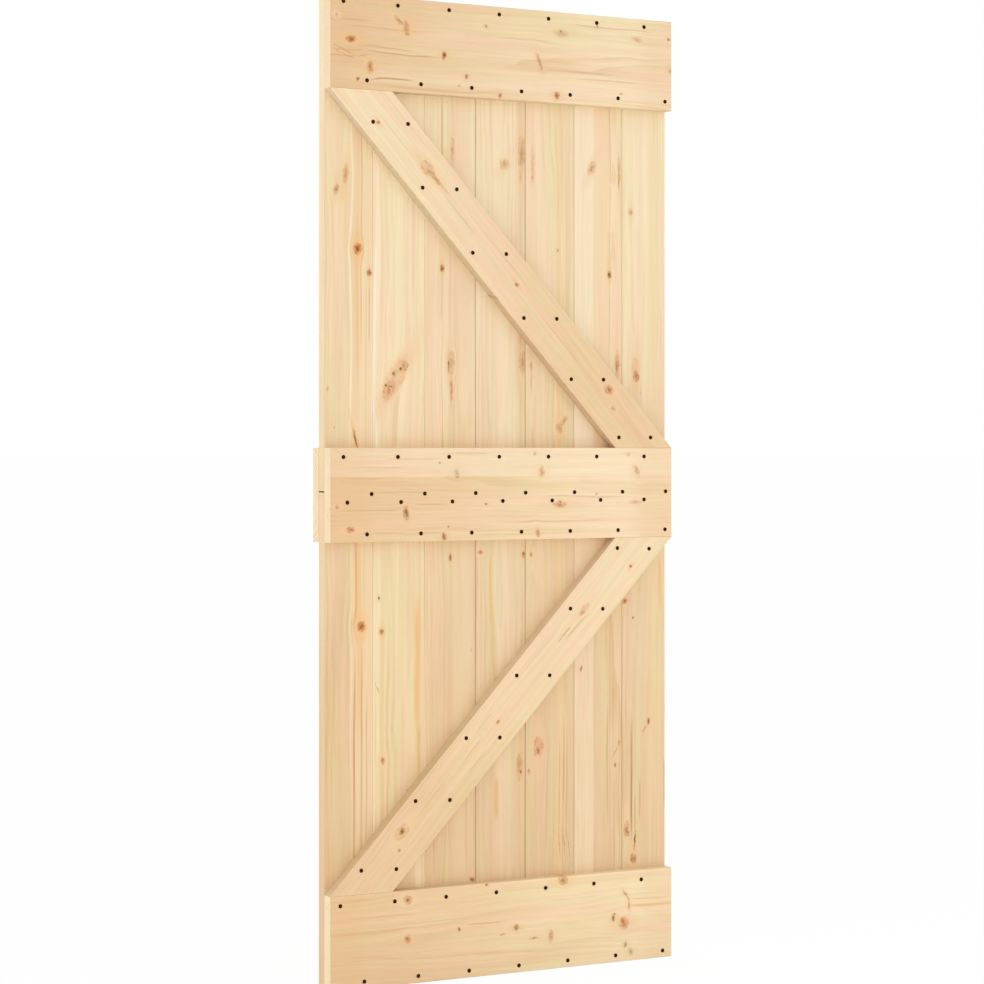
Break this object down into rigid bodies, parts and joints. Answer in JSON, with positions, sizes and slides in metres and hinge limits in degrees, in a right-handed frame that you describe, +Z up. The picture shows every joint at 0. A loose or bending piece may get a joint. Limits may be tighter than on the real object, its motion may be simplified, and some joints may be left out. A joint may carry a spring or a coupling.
{
  "type": "sliding barn door leaf",
  "caption": "Knotty pine plank leaf for a sliding barn door: upright tongue-and-groove boards with level rails and diagonal braces nailed on in a K, and a rail across the back.",
  "frame": {"origin": "on the front face of the top rail, in the middle of its length and height, where a hanger bolts on", "axes": "+X across the leaf to the right as seen from the front, +Y from the front towards the back, +Z up"},
  "size_m": [0.85, 0.084, 2.1],
  "materials": {
    "pine_boards": "planed and sanded, untreated",
    "pine_rails": "planed and sanded, untreated",
    "pine_braces": "planed and sanded, untreated",
    "nail_steel": "dark browned nail heads"
  },
  "bodies": {
    "root": {"board_1": "pine_boards", "board_2": "pine_boards", "board_3": "pine_boards", "board_4": "pine_boards", "board_5": "pine_boards", "board_6": "pine_boards", "board_7": "pine_boards", "top_rail": "pine_rails", "middle_rail": "pine_rails", "bottom_rail": "pine_rails", "back_rail": "pine_rails", "upper_brace": "pine_braces", "lower_brace": "pine_braces"}
  },
  "joints": []
}
